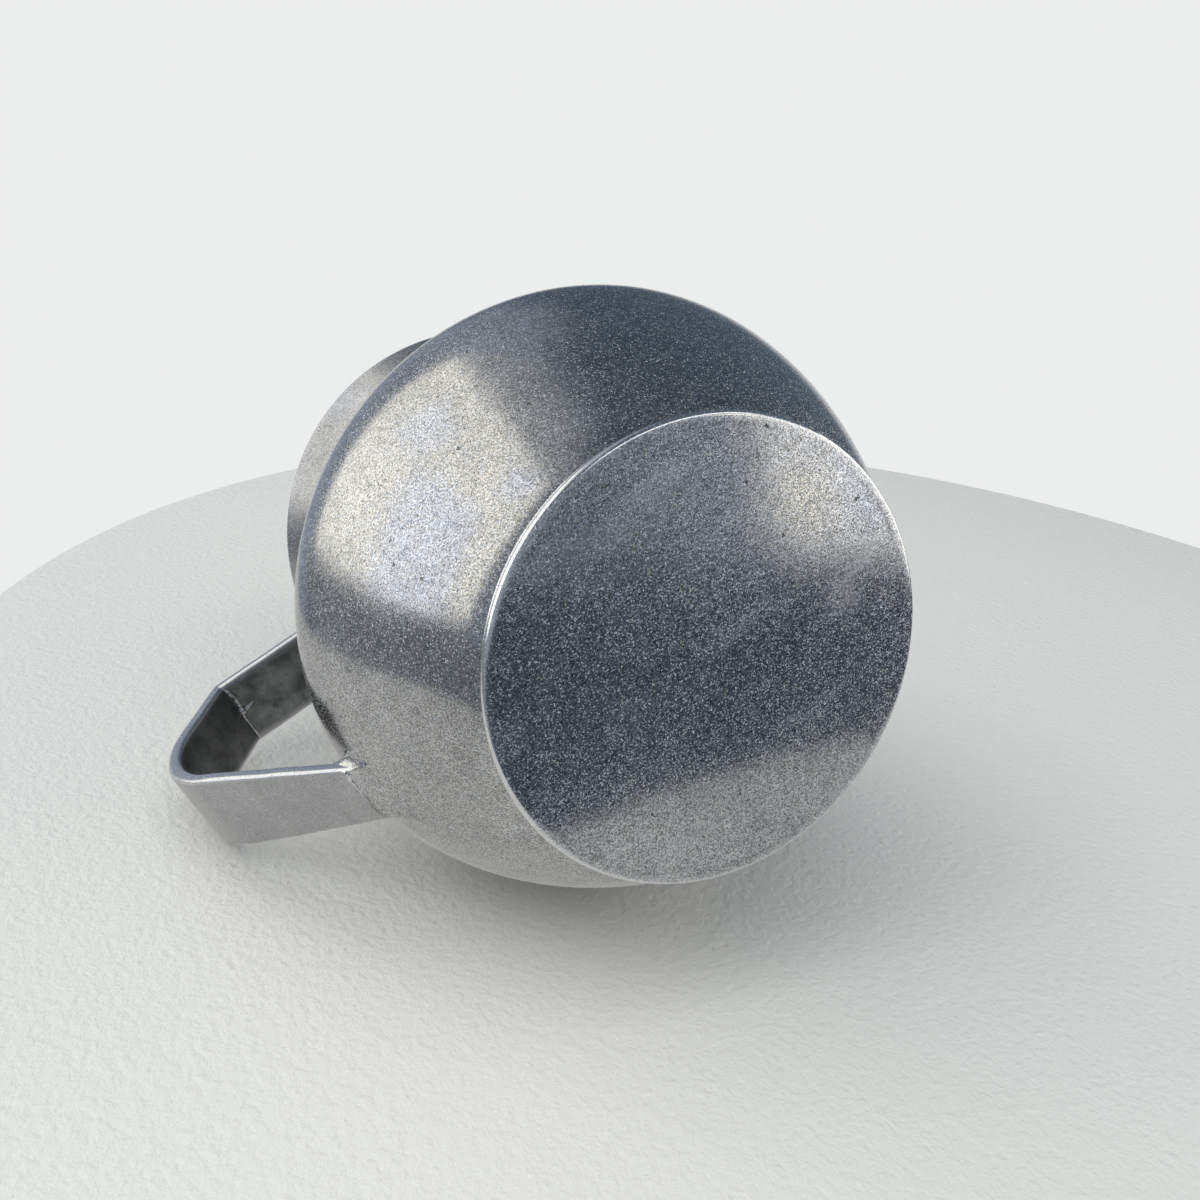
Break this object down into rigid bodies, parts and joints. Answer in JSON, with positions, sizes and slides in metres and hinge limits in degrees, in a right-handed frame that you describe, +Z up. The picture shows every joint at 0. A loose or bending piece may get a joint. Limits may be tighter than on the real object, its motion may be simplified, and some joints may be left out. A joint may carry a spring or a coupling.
{
  "type": "pitcher",
  "caption": "Bulbous pewter pitcher with a flat base, a flared mouth with a pouring lip and a flat strap handle, for holding and pouring drinks.",
  "frame": {"origin": "Middle of the flat underside of the base plate, on the surface that the pitcher stands on.", "axes": "+Z up along the axis of the bowl, +X towards the pouring lip, -X towards the handle, +Y to the left of someone who looks along the lip."},
  "size_m": [0.19, 0.152, 0.1514],
  "materials": {
    "base_pewter": "satin pewter, rubbed smooth, with fine scratches",
    "body_pewter": "satin cast pewter with a fine grain and small pits",
    "handle_pewter": "satin pewter strap with burnished edges",
    "solder": "bright pewter solder, scraped smooth"
  },
  "bodies": {
    "root": {"base_plate": "base_pewter", "base_solder": "solder", "lower_bowl": "body_pewter", "upper_bowl": "body_pewter", "neck_collar": "body_pewter", "handle_strap": "handle_pewter", "handle_arm": "handle_pewter", "mitre_solder": "solder", "handle_root_solder": "solder", "handle_arm_solder": "solder"}
  },
  "joints": []
}
